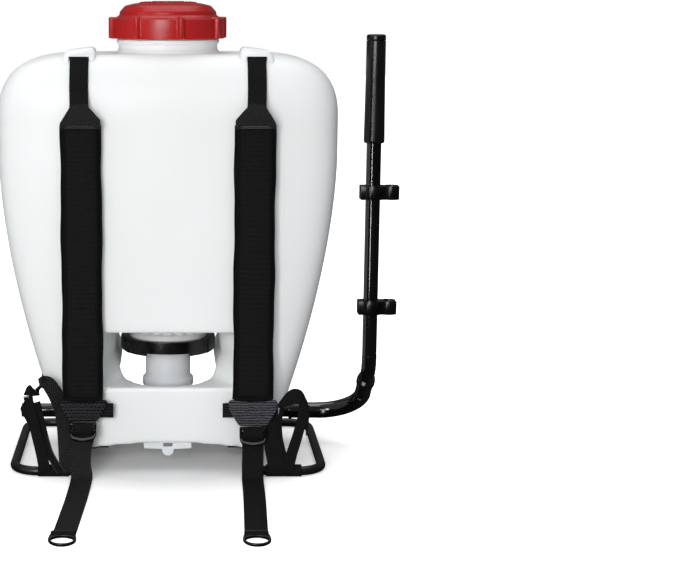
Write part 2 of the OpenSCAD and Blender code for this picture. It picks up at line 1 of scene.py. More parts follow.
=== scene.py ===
"""Looks of a backpack sprayer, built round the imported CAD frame. Lengths below are millimetres."""
import json
from math import ceil, cos, pi, radians, sin, tau

import bmesh
import bpy
import numpy as np
from mathutils import Matrix, Vector
from mathutils.bvhtree import BVHTree


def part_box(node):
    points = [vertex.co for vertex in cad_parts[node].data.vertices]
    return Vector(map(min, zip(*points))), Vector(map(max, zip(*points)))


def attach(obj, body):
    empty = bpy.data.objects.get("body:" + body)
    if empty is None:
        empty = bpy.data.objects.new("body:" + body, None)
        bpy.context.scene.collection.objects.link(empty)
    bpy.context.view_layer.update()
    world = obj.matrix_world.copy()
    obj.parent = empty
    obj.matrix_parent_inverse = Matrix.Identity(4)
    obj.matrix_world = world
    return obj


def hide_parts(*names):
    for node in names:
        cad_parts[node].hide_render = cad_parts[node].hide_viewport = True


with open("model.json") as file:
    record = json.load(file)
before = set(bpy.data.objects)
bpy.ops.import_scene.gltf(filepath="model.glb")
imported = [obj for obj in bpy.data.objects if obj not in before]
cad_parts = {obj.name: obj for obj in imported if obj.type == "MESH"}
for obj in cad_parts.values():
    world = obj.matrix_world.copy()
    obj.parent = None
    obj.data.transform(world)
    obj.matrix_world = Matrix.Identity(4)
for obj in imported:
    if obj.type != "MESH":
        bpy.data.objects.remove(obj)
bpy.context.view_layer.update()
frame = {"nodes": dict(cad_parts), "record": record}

MM = 0.001
scene = bpy.context.scene
scene.view_settings.view_transform = "Standard"


def box_mm(node):
    """Lowest and highest corner of a CAD node, in millimetres."""
    low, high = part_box(node)
    return low / MM, high / MM


def linked(name, data):
    """A new object in the scene."""
    made = bpy.data.objects.new(name, data)
    scene.collection.objects.link(made)
    return made


# ---------- camera, floor and light ----------

def place_camera():
    data = bpy.data.cameras.new("camera")
    data.sensor_width = 36
    data.lens = 85.4
    data.shift_x = 0.2526
    camera = linked("camera", data)
    camera.location = (0, -1.8, 0.516)
    camera.rotation_euler = (radians(90 - 10.13), 0, 0)
    scene.camera = camera


def area_light(name, place, target, size, power):
    data = bpy.data.lights.new(name, "AREA")
    data.shape = "RECTANGLE"
    data.size, data.size_y = size
    data.energy = power
    light = linked(name, data)
    light.location = place
    aim = Vector(target) - Vector(place)
    light.rotation_euler = aim.to_track_quat("-Z", "Y").to_euler()


def light_the_stage():
    area_light("top_light", (0.1, 0.3, 2.6), (0.1, 0, 0), (2.6, 2.4), 34)
    area_light("front_light", (-0.8, -3.1, 1.0), (0, 0, 0.25), (1.6, 1.1), 50)
    area_light("left_light", (-2.2, -1.0, 1.2), (0, 0, 0.25), (0.9, 1.3), 5)
    area_light("strip_light", (-0.3, -0.95, 0.22), (0.22, -0.05, 0.22), (0.03, 0.42), 1.3)
    world = bpy.data.worlds.new("studio")
    world.use_nodes = True
    nodes, links = world.node_tree.nodes, world.node_tree.links
    ray = nodes.new("ShaderNodeLightPath")
    colour = (0.39, 0.4, 0.42, 1)
    for seen, shade in (("Is Glossy Ray", (0.1, 0.1, 0.1, 1)), ("Is Camera Ray", (1, 1, 1, 1))):
        mix = nodes.new("ShaderNodeMix")
        mix.data_type = "RGBA"
        mix.inputs["B"].default_value = shade
        links.new(ray.outputs[seen], mix.inputs["Factor"])
        if isinstance(colour, tuple):
            mix.inputs["A"].default_value = colour
        else:
            links.new(colour, mix.inputs["A"])
        colour = mix.outputs["Result"]
    links.new(colour, nodes["Background"].inputs["Color"])
    scene.world = world


# ---------- materials ----------

class Look:
    """A node material under construction: a Principled shader and short ways to add texture to it."""

    def __init__(self, name, colour, roughness, **settings):
        self.material = bpy.data.materials.new(name)
        self.material.use_nodes = True
        self.nodes = self.material.node_tree.nodes
        self.links = self.material.node_tree.links
        self.shader = self.nodes["Principled BSDF"]
        self.set("Base Color", (*colour, 1))
        self.set("Roughness", roughness)
        for socket, value in settings.items():
            self.set(socket.replace("_", " "), value)

    def set(self, socket, value):
        self.shader.inputs[socket].default_value = value

    def node(self, kind, **properties):
        made = self.nodes.new(kind)
        for key, value in properties.items():
            setattr(made, key, value)
        return made

    def coordinates(self, which="Object"):
        return self.node("ShaderNodeTexCoord").outputs[which]

    def axes(self, which="Object"):
        split = self.node("ShaderNodeSeparateXYZ")
        self.links.new(self.coordinates(which), split.inputs[0])
        return split.outputs

    def noise(self, scale, detail=3.0, stretch=None, which="Object"):
        place = self.coordinates(which)
        if stretch:
            mapping = self.node("ShaderNodeMapping")
            mapping.inputs["Scale"].default_value = stretch
            self.links.new(place, mapping.inputs["Vector"])
            place = mapping.outputs["Vector"]
        texture = self.node("ShaderNodeTexNoise")
        texture.inputs["Scale"].default_value = scale
        texture.inputs["Detail"].default_value = detail
        self.links.new(place, texture.inputs["Vector"])
        return texture.outputs["Fac"]

    def math(self, operation, a, b=None):
        node = self.node("ShaderNodeMath", operation=operation)
        for socket, value in zip(node.inputs, (a, b)):
            if isinstance(value, (int, float)):
                socket.default_value = value
            elif value is not None:
                self.links.new(value, socket)
        return node.outputs[0]

    def times(self, a, b):
        return self.math("MULTIPLY", a, b)

    def plus(self, a, b):
        return self.math("ADD", a, b)

    def ramp(self, factor, low, high, span=(0.3, 0.7)):
        """Mixes two colours, or two numbers, by a factor between the two ends of span."""
        number = isinstance(low, (int, float))
        ramp = self.node("ShaderNodeMapRange" if number else "ShaderNodeValToRGB")
        if number:
            for socket, value in zip(("From Min", "From Max", "To Min", "To Max"), (*span, low, high)):
                ramp.inputs[socket].default_value = value
            self.links.new(factor, ramp.inputs["Value"])
            return ramp.outputs["Result"]
        for element, place, colour in zip(ramp.color_ramp.elements, span, (low, high)):
            element.position = place
            element.color = (*colour, 1)
        self.links.new(factor, ramp.inputs["Fac"])
        return ramp.outputs["Color"]

    def feed(self, socket, output):
        self.links.new(output, self.shader.inputs[socket])
        return self

    def bump(self, height, depth, strength=1.0):
        node = self.node("ShaderNodeBump")
        node.inputs["Distance"].default_value = depth * MM
        node.inputs["Strength"].default_value = strength
        self.links.new(height, node.inputs["Height"])
        return self.feed("Normal", node.outputs["Normal"])


def moulded(name, dark, light, roughness, grain=900, depth=0.05, **settings):
    """Moulded plastic or paint: a slow change of shade, uneven gloss and a fine grain."""
    look = Look(name, light, roughness[0], **settings)
    slow = look.noise(14, 3)
    look.feed("Base Color", look.ramp(slow, dark, light))
    look.feed("Roughness", look.ramp(look.noise(55, 4), *roughness))
    look.bump(look.noise(grain, 2), depth, 0.5)
    return look.material


def brushed_steel():
    look = Look("zinc_steel", (0.55, 0.56, 0.58), 0.35, Metallic=1.0)
    look.feed("Base Color", look.ramp(look.noise(60, 3), (0.42, 0.43, 0.45), (0.66, 0.67, 0.69)))
    look.feed("Roughness", look.ramp(look.noise(400, 2, (1, 1, 12)), 0.25, 0.5))
    look.bump(look.noise(600, 2, (1, 1, 14)), 0.04, 0.4)
    return look.material


def woven(name, dark, light, across, along, depth, slant=0.0, roughness=0.82):
    """Webbing: a weave in the ribbon's own across and along directions, in millimetres. The raised threads
    are painted lighter as a painted highlight, over a random change of tone.
    """
    look = Look(name, dark, roughness, Specular_IOR_Level=0.08)
    u, v, _ = look.axes("UV")
    lean = look.math("MULTIPLY_ADD", u, slant)
    look.links.new(v, lean.node.inputs[2])
    warp = look.math("SINE", look.times(u, tau / across))
    weft = look.math("SINE", look.times(lean, tau / along))
    weave = look.times(warp, weft)
    height = look.plus(look.times(weave, 0.5), 0.5)
    # painted highlight: colour follows the weave's height, so the raised threads are lighter; a slow noise
    # adds a random change of tone
    raised_thread_sheen_and_tone = look.plus(height, look.times(look.noise(0.5, 4, which="UV"), 0.5))
    look.feed("Base Color", look.ramp(raised_thread_sheen_and_tone, dark, light, (0.6, 1.0)))
    look.feed("Roughness", look.ramp(height, roughness - 0.12, roughness + 0.1, (0, 1)))
    look.bump(height, depth)
    return look.material


def pad_fabric(name, dark, light):
    """Ribbed cloth of the shoulder pads: fine cross ribs that sag a little, over a slow change of shade. The
    crests of the ribs and cords are painted lighter as a painted highlight, under a fine random speckle.
    """
    look = Look(name, dark, 0.85, Specular_IOR_Level=0.06)
    x, _, z = look.axes()
    drift = look.times(look.noise(30, 2), 0.0022)
    level = look.plus(z, drift)
    ribs = look.math("SINE", look.times(level, tau / (1.35 * MM)))
    cords = look.math("SINE", look.times(x, tau / (1.1 * MM)))
    height = look.plus(look.times(ribs, 0.4), look.times(cords, 0.18))
    rib_height_and_fuzz = look.plus(height, look.noise(900, 3))
    # painted highlight: colour follows the rib and cord height, so their crests are lighter than the grooves;
    # fine noise adds a random speckle
    look.feed("Base Color", look.ramp(rib_height_and_fuzz, dark, light, (-0.1, 1.25)))
    look.feed("Roughness", look.ramp(look.noise(120, 3), 0.75, 0.95))
    look.bump(rib_height_and_fuzz, 0.22)
    return look.material


def stitched_fabric(name, dark, light):
    """Coarse cloth of the pads' lower tabs, with wavy cross threads. The threads' crests are painted lighter
    as a painted highlight, with a random speckle.
    """
    look = Look(name, dark, 0.8, Specular_IOR_Level=0.12)
    z = look.axes()["Z"]
    wander = look.times(look.noise(160, 3), 0.0035)
    threads = look.math("SINE", look.times(look.plus(z, wander), tau / (2.9 * MM)))
    thread_height_and_speckle = look.plus(threads, look.times(look.noise(700, 3), 1.6))
    # painted highlight: colour follows the threads' height, so their crests are lighter; noise adds a random
    # speckle
    look.feed("Base Color", look.ramp(thread_height_and_speckle, dark, light, (0.1, 2.0)))
    look.bump(thread_height_and_speckle, 0.35)
    return look.material


def tank_polyethylene():
    """Milky blow-moulded polyethylene: light enters it, and its gloss is soft and a little uneven."""
    look = Look("tank_polyethylene", (0.86, 0.875, 0.87), 0.38)
    look.set("Subsurface Weight", 0.35)
    look.set("Subsurface Radius", (1.0, 0.9, 0.8))
    look.set("Subsurface Scale", 0.006)
    look.set("Specular IOR Level", 0.35)
    slow = look.noise(5, 3, (1, 1, 0.45))
    look.feed("Base Color", look.ramp(slow, (0.825, 0.838, 0.825), (0.88, 0.893, 0.892)))
    look.feed("Roughness", look.ramp(look.noise(24, 3), 0.33, 0.46))
    look.bump(look.plus(look.noise(420, 3), look.times(look.noise(26, 2), 3.0)), 0.09, 0.35)
    return look.material


def grey(value):
    return value, value, value


MATERIALS = {
    "tank_plastic": tank_polyethylene(),
    "white_plastic": moulded("white_nylon", (0.78, 0.8, 0.82), (0.88, 0.89, 0.91), (0.3, 0.42)),
    "pump_plastic": moulded("pump_polypropylene", (0.86, 0.89, 0.92), (0.92, 0.95, 0.98), (0.28, 0.4),
                            Subsurface_Weight=0.4, Subsurface_Radius=grey(1), Subsurface_Scale=0.01),
    "flap_plastic": moulded("soft_clear_vinyl", (0.7, 0.74, 0.76), (0.83, 0.86, 0.88), (0.2, 0.35)),
    "red_plastic": moulded("red_polypropylene", (0.36, 0.008, 0.009), (0.44, 0.012, 0.012), (0.24, 0.34),
                           grain=1400, depth=0.03, Specular_IOR_Level=0.4),
    "black_plastic": moulded("black_acetal", grey(0.002), (0.005, 0.005, 0.006), (0.18, 0.3),
                             Specular_IOR_Level=0.35),
    "rubber_black": moulded("black_rubber", grey(0.005), grey(0.01), (0.6, 0.75)),
    "grip_rubber": moulded("grip_vinyl", (0.003, 0.003, 0.0035), (0.005, 0.005, 0.006), (0.2, 0.27),
                           grain=2200, depth=0.02, Specular_IOR_Level=0.4),
    "black_paint": moulded("gloss_black_enamel", (0.002, 0.002, 0.0022), (0.004, 0.004, 0.0045),
                           (0.06, 0.12), grain=260, depth=0.015, Coat_Weight=1.0, Coat_Roughness=0.04,
                           Specular_IOR_Level=0.8),
    "frame_paint": moulded("satin_black_enamel", grey(0.004), (0.01, 0.0095, 0.0095), (0.26, 0.4),
                           grain=500, depth=0.04),
    "steel": brushed_steel(),
    "webbing": woven("nylon_webbing", grey(0.0015), (0.017, 0.0165, 0.0165), 2.2, 2.8, 0.5),
    "webbing_coarse": woven("coarse_webbing", grey(0.0015), (0.036, 0.035, 0.035), 2.8, 3.2, 0.6),
    "binding": woven("grosgrain_binding", grey(0.0015), grey(0.008), 6.0, 1.4, 0.2),
    "pad_cloth": pad_fabric("ribbed_pad_cloth", (0.002, 0.002, 0.0024), (0.017, 0.016, 0.0165)),
    "tab_cloth": stitched_fabric("tab_cloth_dark", (0.0025, 0.0025, 0.003), (0.016, 0.016, 0.019)),
    "tab_cloth_light": stitched_fabric("tab_cloth_light", (0.008, 0.008, 0.01), (0.09, 0.086, 0.1)),
    # grey thread for the stitching; the same grey also draws painted highlights on the buckles' lower lips
    # and along the left slack's edges
    "thread": moulded("grey_thread", (0.03, 0.03, 0.034), (0.09, 0.09, 0.1), (0.6, 0.8),
                      Specular_IOR_Level=0.2),
}


# ---------- mesh helpers ----------

# how far a band's corners draw in, as a share of its thickness
EDGE_ROUNDING = 0.42


def add_mesh(name, points, faces, uv=None, sharp=38):
    """A mesh object from points in millimetres. uv gives one (across, along) pair for each point."""
    mesh = bpy.data.meshes.new(name)
    mesh.from_pydata([tuple(c * MM for c in p) for p in points], [], faces)
    if uv is not None:
        layer = mesh.uv_layers.new(name="weave")
        for loop in mesh.loops:
            layer.data[loop.index].uv = uv[loop.vertex_index]
    return add_object(name, mesh, sharp)


def add_object(name, mesh, sharp=38):
    tidy = bmesh.new()
    tidy.from_mesh(mesh)
    bmesh.ops.remove_doubles(tidy, verts=tidy.verts, dist=0.002 * MM)
    bmesh.ops.dissolve_degenerate(tidy, edges=tidy.edges, dist=0.001 * MM)
    bmesh.ops.recalc_face_normals(tidy, faces=tidy.faces)
    tidy.to_mesh(mesh)
    tidy.free()
    for polygon in mesh.polygons:
        polygon.use_smooth = True
    mesh.set_sharp_from_angle(angle=radians(sharp))
    return linked(name, mesh)


def baked(source, name, sharp=38):
    """A new object from another's mesh with its modifiers applied; the other is removed."""
    bpy.context.view_layer.update()
    graph = bpy.context.evaluated_depsgraph_get()
    mesh = bpy.data.meshes.new_from_object(source.evaluated_get(graph))
    mesh.transform(source.matrix_world)
    bpy.data.objects.remove(source)
    return add_object(name, mesh, sharp)


def dress(piece, body, material, *nodes, slot=None):
    """Gives a new piece its material and its body, and hides the CAD nodes it stands for."""
    piece.data.materials.clear()
    piece.data.materials.append(MATERIALS[material])
    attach(piece, body)
    if nodes:
        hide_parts(*nodes)
    return piece


def skin(rings, closed_ends=True, loop=False):
    """Faces between rings of equal size. Rings are lists of points."""
    n = len(rings[0])
    points = [p for ring in rings for p in ring]
    last = len(rings) if loop else len(rings) - 1
    faces = [(r * n + i, r * n + (i + 1) % n,
              (r + 1) % len(rings) * n + (i + 1) % n, (r + 1) % len(rings) * n + i)
             for r in range(last) for i in range(n)]
    if closed_ends and not loop:
        faces.append(tuple(range(n - 1, -1, -1)))
        faces.append(tuple((len(rings) - 1) * n + i for i in range(n)))
    return points, faces


def rounded(corners, closed=False, steps=5):
    """An outline in two dimensions whose corners, given as (a, b, radius), are turned into short curves."""
    out = []
    count = len(corners)
    for i, corner in enumerate(corners):
        point = Vector(corner[:2])
        radius = corner[2] if len(corner) > 2 else 0
        if radius == 0 or (not closed and i in (0, count - 1)):
            out.append(tuple(point))
            continue
        before, after = Vector(corners[i - 1][:2]), Vector(corners[(i + 1) % count][:2])
        start = point + (before - point).normalized() * min(radius, (before - point).length * 0.49)
        end = point + (after - point).normalized() * min(radius, (after - point).length * 0.49)
        for k in range(steps + 1):
            t = k / steps
            out.append(tuple(start * (1 - t) ** 2 + point * 2 * t * (1 - t) + end * t * t))
    return out


def rectangle(a0, b0, a1, b1, radius):
    return rounded([(a0, b0, radius), (a1, b0, radius), (a1, b1, radius), (a0, b1, radius)], closed=True)


def through(controls, spacing=2.0):
    """A smooth line through the given points, sampled about every spacing millimetres."""
    controls = [Vector(c) for c in controls]
    padded = [controls[0] * 2 - controls[1], *controls, controls[-1] * 2 - controls[-2]]
    line = []
    for a, b, c, d in zip(padded, padded[1:], padded[2:], padded[3:]):
        steps = max(1, ceil((c - b).length / spacing))
        for k in range(steps):
            t = k / steps
            line.append(0.5 * (2 * b + (c - a) * t + (2 * a - 5 * b + 4 * c - d) * t * t
                               + (3 * b - a - 3 * c + d) * t ** 3))
    return line + [controls[-1]]


def lathe(name, outline, sides=160, axis=(0, 0), shape=None, sharp=38):
    """Turns an outline of (radius, height) round a vertical axis. shape changes a point by its angle."""
    rings = []
    for i in range(sides):
        angle = tau * i / sides
        ring = []
        for radius, height in outline:
            r, z = shape(angle, radius, height) if shape else (radius, height)
            ring.append((axis[0] + r * cos(angle), axis[1] + r * sin(angle), z))
        rings.append(ring)
    points, faces = skin(rings, loop=True)
    return add_mesh(name, points, faces, sharp=sharp)


def sweep(name, path, width, thick, across):
    """A flat band along an open path. width and across may be functions of the share of the length."""
    path = [Vector(p) for p in path]
    lengths = [0.0]
    for a, b in zip(path, path[1:]):
        lengths.append(lengths[-1] + (b - a).length)
    rings, uv = [], []
    for i, point in enumerate(path):
        share = lengths[i] / lengths[-1]
        tangent = (path[min(i + 1, len(path) - 1)] - path[max(i - 1, 0)]).normalized()
        side = Vector(across(share) if callable(across) else across)
        side = (side - tangent * side.dot(tangent)).normalized()
        out = side.cross(tangent)
        half = (width(share) if callable(width) else width) / 2
        flat = [half * k / 4 for k in range(-4, 5)]
        shrink = 1 - EDGE_ROUNDING * thick / half / 2
        section = [(-half, 0.0), *[(x * shrink, thick / 2) for x in flat]]
        section += [(half, 0.0), *[(x * shrink, -thick / 2) for x in reversed(flat)]]
        rings.append([point + side * a + out * b for a, b in section])
        uv += [(a, lengths[i]) for a, _ in section]
    return add_mesh(name, *skin(rings), uv, sharp=60)


def rod(name, path, radius, sides=10, closed=False):
    """A round rod or thread along a path."""
    path = [Vector(p) for p in path]
    count = len(path)
    rings = []
    side = None
    for i, point in enumerate(path):
        before = path[i - 1] if i or closed else point
        after = path[(i + 1) % count] if i < count - 1 or closed else point
        tangent = (after - before).normalized()
        if side is None:
            side = tangent.orthogonal().normalized()
        side = (side - tangent * side.dot(tangent)).normalized()
        other = tangent.cross(side)
        r = radius(i / (count - 1)) if callable(radius) else radius
        rings.append([point + side * r * cos(tau * k / sides) + other * r * sin(tau * k / sides)
                      for k in range(sides)])
    points, faces = skin(rings, loop=closed)
    return add_mesh(name, points, faces)


def plate(name, outlines, thick, bevel, turn, sharp=50):
    """A flat plate with rounded edges, cut from outlines in its own plane, where later ones are holes."""
    data = bpy.data.curves.new(name, "CURVE")
    data.dimensions = "2D"
    data.fill_mode = "BOTH"
    data.extrude = (thick / 2 - bevel) * MM
    data.bevel_depth = bevel * MM
    data.bevel_resolution = 2
    data.offset = -bevel * MM
    for outline in outlines:
        spline = data.splines.new("POLY")
        spline.points.add(len(outline) - 1)
        for point, (a, b) in zip(spline.points, outline):
            point.co = (a * MM, b * MM, 0, 1)
        spline.use_cyclic_u = True
    made = linked(name, data)
    made.matrix_world = turn
    return baked(made, name, sharp)


def upright(x, y, z):
    """The plane of X and Z, facing -Y, with its origin at a point in millimetres."""
    return Matrix.Translation(Vector((x, y, z)) * MM) @ Matrix.Rotation(pi / 2, 4, "X")


def level(x, y, z):
    """The plane of X and Y, with its origin at a point in millimetres."""
    return Matrix.Translation(Vector((x, y, z)) * MM)


def modifier(piece, kind, **settings):
    made = piece.modifiers.new(kind.lower(), kind)
    for key, value in settings.items():
        setattr(made, key, value)
    return made


def softened(node, material, body, bevel):
    """A CAD node's own shape with its sharp edges broken, as moulded and machined pieces have them."""
    mesh = frame["nodes"][node].data.copy()
    shape = bmesh.new()
    shape.from_mesh(mesh)
    bmesh.ops.remove_doubles(shape, verts=shape.verts, dist=0.01 * MM)
    bmesh.ops.dissolve_limit(shape, angle_limit=radians(0.5), verts=shape.verts, edges=shape.edges)
    shape.to_mesh(mesh)
    shape.free()
    piece = linked(node + "_soft", mesh)
    modifier(piece, "BEVEL", width=bevel * MM, segments=2, limit_method="ANGLE", angle_limit=radians(32))
    return dress(baked(piece, node + "_shell", 30), body, material, node)


# ---------- tank ----------

tank_low, tank_high = box_mm("tank")
TANK_HALF = tank_high.x
BACK_DEPTH = -tank_low.y
FRONT_DEPTH = tank_high.y
FOOT_Z = tank_low.z
NECK_TOP = tank_high.z
FOOT_HALF = 112
WIDEST_Z = 345
SHOULDER_Z = 385
TANK_TOP_Z = 455
TOP_HALF = 100
WINDOW_LOW = 96
WINDOW_TOP = 156
NECK_R = 54
TANK_VOXEL = 2.2
FILLER_BORE_R = 50
PUMP_BORE_R = 36
# the hollow that keeps clear of the shaft, and the wider one between the feet
SHAFT_ROOM_R = 13
CRANK_ROOM_R = 16.4
CRANK_ROOM_HALF = 72.6
# the rounded bay round the pump
BAY_HALF = 56
BAY_Y = -20.5
BAY_SPAN = (50, 110)
shaft_low, shaft_high = box_mm("pump_shaft")
SHAFT_Y = (shaft_low.y + shaft_high.y) / 2
SHAFT_Z = (shaft_low.z + shaft_high.z) / 2


def smooth(t):
    """Eases from 0 to 1."""
    t = min(1.0, max(0.0, t))
    return t * t * (3 - 2 * t)


def shoulder(z):
    """Share of the full width and depth that is left at a height, from the shoulder up."""
    if z <= SHOULDER_Z:
        return 1.0
    rise = (z - SHOULDER_Z) / (TANK_TOP_Z + 0.4 - SHOULDER_Z)
    return max(0.0, 1 - rise ** 2.6) ** (1 / 2.6)


def below(z):
    """Share of the taper towards the feet."""
    return (max(0, WIDEST_Z - z) / (WIDEST_Z - FOOT_Z)) ** 1.7


def half_width(z):
    wide = TANK_HALF - (TANK_HALF - FOOT_HALF) * below(z)
    return TOP_HALF + (wide - TOP_HALF) * shoulder(z)


def depth(z, side):
    """How far the tank reaches towards -Y or +Y at a height."""
    deep = BACK_DEPTH - 3 * below(z) if side < 0 else FRONT_DEPTH - 28 * below(z)
    return deep * (0.55 + 0.45 * shoulder(z))


def back_face(x, z):
    """Y of the tank's face towards the wearer."""
    share = min(1.0, abs(x) / half_width(z))
    return -depth(z, -1) * (1 - share ** 5) ** 0.2


def tank_section(z, count=160):
    """A level slice of the tank: squarer towards the wearer than behind."""
    ring = []
    for i in range(count):
        angle = tau * i / count
        power = 2 / (5 if sin(angle) < 0 else 3)
        ring.append((half_width(z) * np.sign(cos(angle)) * abs(cos(angle)) ** power,
                     depth(z, sin(angle)) * np.sign(sin(angle)) * abs(sin(angle)) ** power, z))
    return ring


def cutter(rings):
    """A solid that shapes another one, and is removed after use."""
    points, faces = skin(rings)
    return add_mesh("cutter", points, faces)


def block(low, high):
    (x0, y0, z0), (x1, y1, z1) = low, high
    return cutter([[(x0, y0, z), (x1, y0, z), (x1, y1, z), (x0, y1, z)] for z in (z0, z1)])


def drum(radius, low, high, y=0, count=96):
    """An upright cylinder between two heights."""
    return cutter([[(radius * cos(tau * i / count), y + radius * sin(tau * i / count), z)
                    for i in range(count)] for z in (low, high)])


def drum_x(y, z, radius, x0, x1, count=64):
    """A cylinder along X."""
    return cutter([[(x, y + radius * cos(tau * i / count), z + radius * sin(tau * i / count))
                    for i in range(count)] for x in (x0, x1)])


def window_cutter():
    """The opening under the tank: wide and square at the wearer's side, rounded and narrower behind."""
    arc = [i * pi / 2 / 12 for i in range(13)]
    rings = []
    for y in (-100, -94, -88, -83, -76, -68, -60, -52, -44, -36, -28, -10, 20, 60, 140):
        front = smooth((-28 - y) / 60)
        half = 60 + 17 * front
        corner = 30 - 22 * front
        waist = 3.2 * (1 - front)
        low = WINDOW_LOW + 4.6 - 6.1 * front
        right = [(half - waist * smooth((z - 118) / 24), z) for z in (150, 142, 134, 127)]
        right += [(half - corner + corner * cos(a), low + corner - corner * sin(a)) for a in arc]
        ring = [(half - waist - 3, WINDOW_TOP), (half - waist - 1, WINDOW_TOP - 2)] + right
        ring += [(-x, z) for x, z in reversed(ring)]
        rings.append([(x, y, z) for x, z in ring])
    return cutter(rings)


def arch_cutter():
    """The shallow arch under the skirt."""
    radius, top = 560, 32
    edge = [(x, top - radius + (radius ** 2 - x ** 2) ** 0.5) for x in range(-90, 91, 6)]
    outline = [(-90, 0), *edge, (90, 0)]
    return cutter([[(x, y, z) for x, z in outline] for y in (-120, 120)])


def cut(body, tool, operation="DIFFERENCE"):
    modifier(body, "BOOLEAN", operation=operation, object=tool, solver="EXACT")


def build_tank():
    """One smooth loft, cut by its openings, then remeshed so that all its edges are rounded."""
    heights = [FOOT_Z + (SHOULDER_Z - FOOT_Z) * i / 60 for i in range(61)]
    heights += [SHOULDER_Z + (TANK_TOP_Z - SHOULDER_Z) * (1 - (1 - i / 26) ** 2) for i in range(1, 27)]
    body = add_mesh("tank_raw", *skin([tank_section(z) for z in heights]))
    tools = [window_cutter(), block((-60, -80.5, -1), (60, 215, WINDOW_LOW - 4.5)),
             block((-BAY_HALF, BAY_Y, BAY_SPAN[0]), (BAY_HALF, 160, BAY_SPAN[1]))]
    for radius, half in ((SHAFT_ROOM_R, 200), (CRANK_ROOM_R, CRANK_ROOM_HALF)):
        tools += [drum_x(SHAFT_Y, SHAFT_Z, radius, -half, half),
                  block((-half, SHAFT_Y - radius, -1), (half, SHAFT_Y + radius, SHAFT_Z))]
    tools += [arch_cutter(), drum(BAY_HALF, *BAY_SPAN, y=BAY_Y), drum(FILLER_BORE_R, 398, 480),
              drum(PUMP_BORE_R, 130, 262)]
    neck = drum(NECK_R, 440, 464)
    cut(body, neck, "UNION")
    for tool in tools:
        cut(body, tool)
    modifier(body, "REMESH", mode="VOXEL", voxel_size=TANK_VOXEL * MM)
    modifier(body, "SMOOTH", factor=0.5, iterations=7)
    tank = baked(body, "tank_shell", 180)
    for tool in [*tools, neck]:
        bpy.data.objects.remove(tool)
    dress(tank, "sprayer", "tank_plastic", "tank")


def build_tank_necks():
    """The filler's lip with its thread, and the pump's neck with its scalloped foot."""
    lip = rounded([(50, 455), (50.1, NECK_TOP, 0.8), (NECK_R, NECK_TOP, 0.8), (NECK_R, 485.5, 0.4),
                   (55, 484.4, 0.6), (NECK_R, 483.3, 0.4), (NECK_R, 479, 0.4), (55, 477.9, 0.6),
                   (NECK_R, 476.8, 0.4), (NECK_R, 470.2, 0.6), (56.5, 470, 1.0), (56.5, 466, 1.2),
                   (54.6, 465, 0.8), (54.4, 460, 1), (56.5, 456.5, 3), (57.5, 453)], closed=True)
    dress(lathe("tank_filler_neck", lip, 192), "sprayer", "tank_plastic", "tank")
    pump_thread = rounded([(36, 161), (36, 132, 0.8), (43.6, 132, 1), (44, 138, 0.5), (44.2, 143, 3),
                           (47, 147, 3), (55.5, 148.4, 2), (57.5, 153, 2), (62, 161)], closed=True)

    def scallop(angle, radius, height):
        lobe = abs(sin(angle * 13))
        drop = 2.2 * lobe * (radius > 48) * smooth((158 - height) / 6)
        return radius + 1.2 * lobe * (radius > 48), height - drop

    dress(lathe("tank_pump_neck", pump_thread, 520, shape=scallop), "sprayer", "tank_plastic", "tank")


def build_lug(side, name):
    """A moulded bridge on the shoulder that holds the upper webbing."""
    low, high = box_mm(name)
    centre = 95
    outline = rounded([(-17.6, 436), (-17.4, 460.5, 3), (-13.6, 463, 3), (7, 460.6, 4), (14.5, 458.6, 3),
                       (18, 452, 3), (18.4, 436)])
    rings = []
    for y, inset in ((low.y, 2.4), (low.y + 0.5, 1.2), (low.y + 1.4, 0.4), (low.y + 2.8, 0),
                     (high.y - 3, 0), (high.y - 1.4, 0.5), (high.y - 0.5, 1.3), (high.y, 2.6)):
        rings.append([(side * (centre + a * (1 - inset / 18)), y, b - inset) for a, b in outline])
    body = add_mesh("lug_raw", *skin(rings))
    half = 10.7
    roof = [(-74, 451.6), (-66, 454.6), (-55.5, 457.6), (-42, 457.6)]
    passage = cutter([[(x, y, z) for y, z in [*roof, (-42, 430), (-74, 430)]]
                      for x in (side * centre - half, side * centre + half)])
    cut(body, passage)
    modifier(body, "BEVEL", width=0.8 * MM, segments=2)
    lug = baked(body, name + "_moulding", 40)
    bpy.data.objects.remove(passage)
    dress(lug, "sprayer", "white_plastic", name)


# ---------- filler cap ----------

